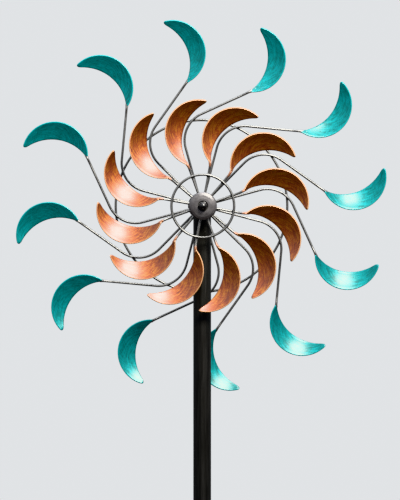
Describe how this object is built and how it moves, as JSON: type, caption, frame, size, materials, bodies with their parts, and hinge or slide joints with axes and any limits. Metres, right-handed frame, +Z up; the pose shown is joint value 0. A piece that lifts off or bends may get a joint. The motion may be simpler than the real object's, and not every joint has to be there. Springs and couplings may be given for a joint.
{
  "type": "garden windmill",
  "caption": "Garden windmill with two rotors of dished metal crescents, in front of and behind a tall pole with a pronged ground socket.",
  "frame": {"origin": "centre of the ground socket's base disc on its underside, at ground level on the pole's axis", "axes": "+Z up along the pole; the windmill faces -Y; the axle lies along Y"},
  "size_m": [0.601, 0.1212, 1.8455],
  "materials": {
    "copper_finish": "antiqued copper-coloured metallic lacquer over brushed sheet",
    "teal_finish": "translucent teal metallic lacquer over brushed sheet",
    "wire_black": "satin black powder coat on wire",
    "pole_black": "satin black powder coat",
    "dark_steel": "dark grey metallic lacquer, semi-gloss",
    "zinc_steel": "zinc-plated steel",
    "black_plastic": "moulded plastic"
  },
  "bodies": {
    "stand": {"ground_socket": "pole_black", "ground_prong_1": "pole_black", "ground_prong_2": "pole_black", "ground_prong_3": "pole_black", "lower_pole": "pole_black", "upper_pole": "pole_black", "pole_cap": "black_plastic", "socket_screw": "zinc_steel", "pole_screw": "zinc_steel", "axle": "zinc_steel", "front_jam_nut": "zinc_steel", "rear_jam_nut": "zinc_steel", "front_cap_nut": "dark_steel", "rear_cap_nut": "dark_steel"},
    "front_rotor": {"front_spoke_wheel": "wire_black", "front_blade_01": "copper_finish", "front_blade_02": "copper_finish", "front_blade_03": "copper_finish", "front_blade_04": "copper_finish", "front_blade_05": "copper_finish", "front_blade_06": "copper_finish", "front_blade_07": "copper_finish", "front_blade_08": "copper_finish", "front_blade_09": "copper_finish", "front_blade_10": "copper_finish", "front_blade_11": "copper_finish", "front_blade_12": "copper_finish", "front_hub_barrel": "wire_black", "front_hub_cap": "dark_steel", "front_inner_bearing": "zinc_steel", "front_outer_bearing": "zinc_steel"},
    "rear_rotor": {"rear_outer_ring": "wire_black", "rear_arm_01": "wire_black", "rear_arm_02": "wire_black", "rear_arm_03": "wire_black", "rear_arm_04": "wire_black", "rear_arm_05": "wire_black", "rear_arm_06": "wire_black", "rear_arm_07": "wire_black", "rear_arm_08": "wire_black", "rear_arm_09": "wire_black", "rear_arm_10": "wire_black", "rear_arm_11": "wire_black", "rear_arm_12": "wire_black", "rear_blade_01": "teal_finish", "rear_blade_02": "teal_finish", "rear_blade_03": "teal_finish", "rear_blade_04": "teal_finish", "rear_blade_05": "teal_finish", "rear_blade_06": "teal_finish", "rear_blade_07": "teal_finish", "rear_blade_08": "teal_finish", "rear_blade_09": "teal_finish", "rear_blade_10": "teal_finish", "rear_blade_11": "teal_finish", "rear_blade_12": "teal_finish", "rear_hub_barrel": "wire_black", "rear_hub_cap": "dark_steel", "rear_inner_bearing": "zinc_steel", "rear_outer_bearing": "zinc_steel"}
  },
  "joints": [
    {"name": "front_rotor_spin", "type": "hinge", "parent": "stand", "child": "front_rotor", "pos_m": [0, 0, 1.345], "axis": [0, -1, 0], "continuous": true},
    {"name": "rear_rotor_spin", "type": "hinge", "parent": "stand", "child": "rear_rotor", "pos_m": [0, 0, 1.345], "axis": [0, -1, 0], "continuous": true}
  ]
}
